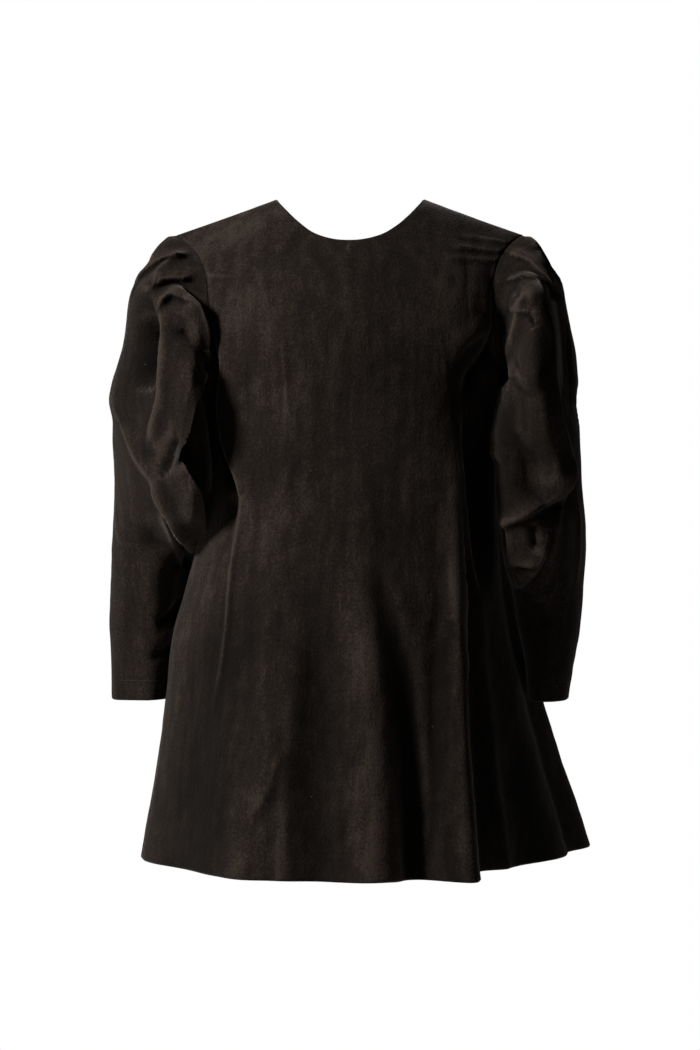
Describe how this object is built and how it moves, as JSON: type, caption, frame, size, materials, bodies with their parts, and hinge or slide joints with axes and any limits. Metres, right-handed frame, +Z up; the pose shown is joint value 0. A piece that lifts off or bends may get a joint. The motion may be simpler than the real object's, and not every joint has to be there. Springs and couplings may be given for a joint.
{
  "type": "short flared velvet overcoat with leg-of-mutton sleeves",
  "caption": "Short dark brown velvet overcoat in its hollow worn form, A-line, collarless round neck, pleated leg-of-mutton sleeves, fluted hem.",
  "frame": {"origin": "midway between the two neck points, where the shoulder seams meet the neckline, where a wearer's shoulders carry the coat", "axes": "+Z up, +Y to the wearer's front, +X to the wearer's right; the back, which the picture shows, faces -Y"},
  "size_m": [0.5635, 0.418, 0.7505],
  "materials": {
    "velvet": "brown-black cotton velvet, napped, with a soft sheen"
  },
  "bodies": {
    "root": {"back": "velvet", "front_left": "velvet", "front_right": "velvet", "sleeve_left": "velvet", "sleeve_right": "velvet", "button": "velvet", "button_loop": "velvet"}
  },
  "joints": []
}
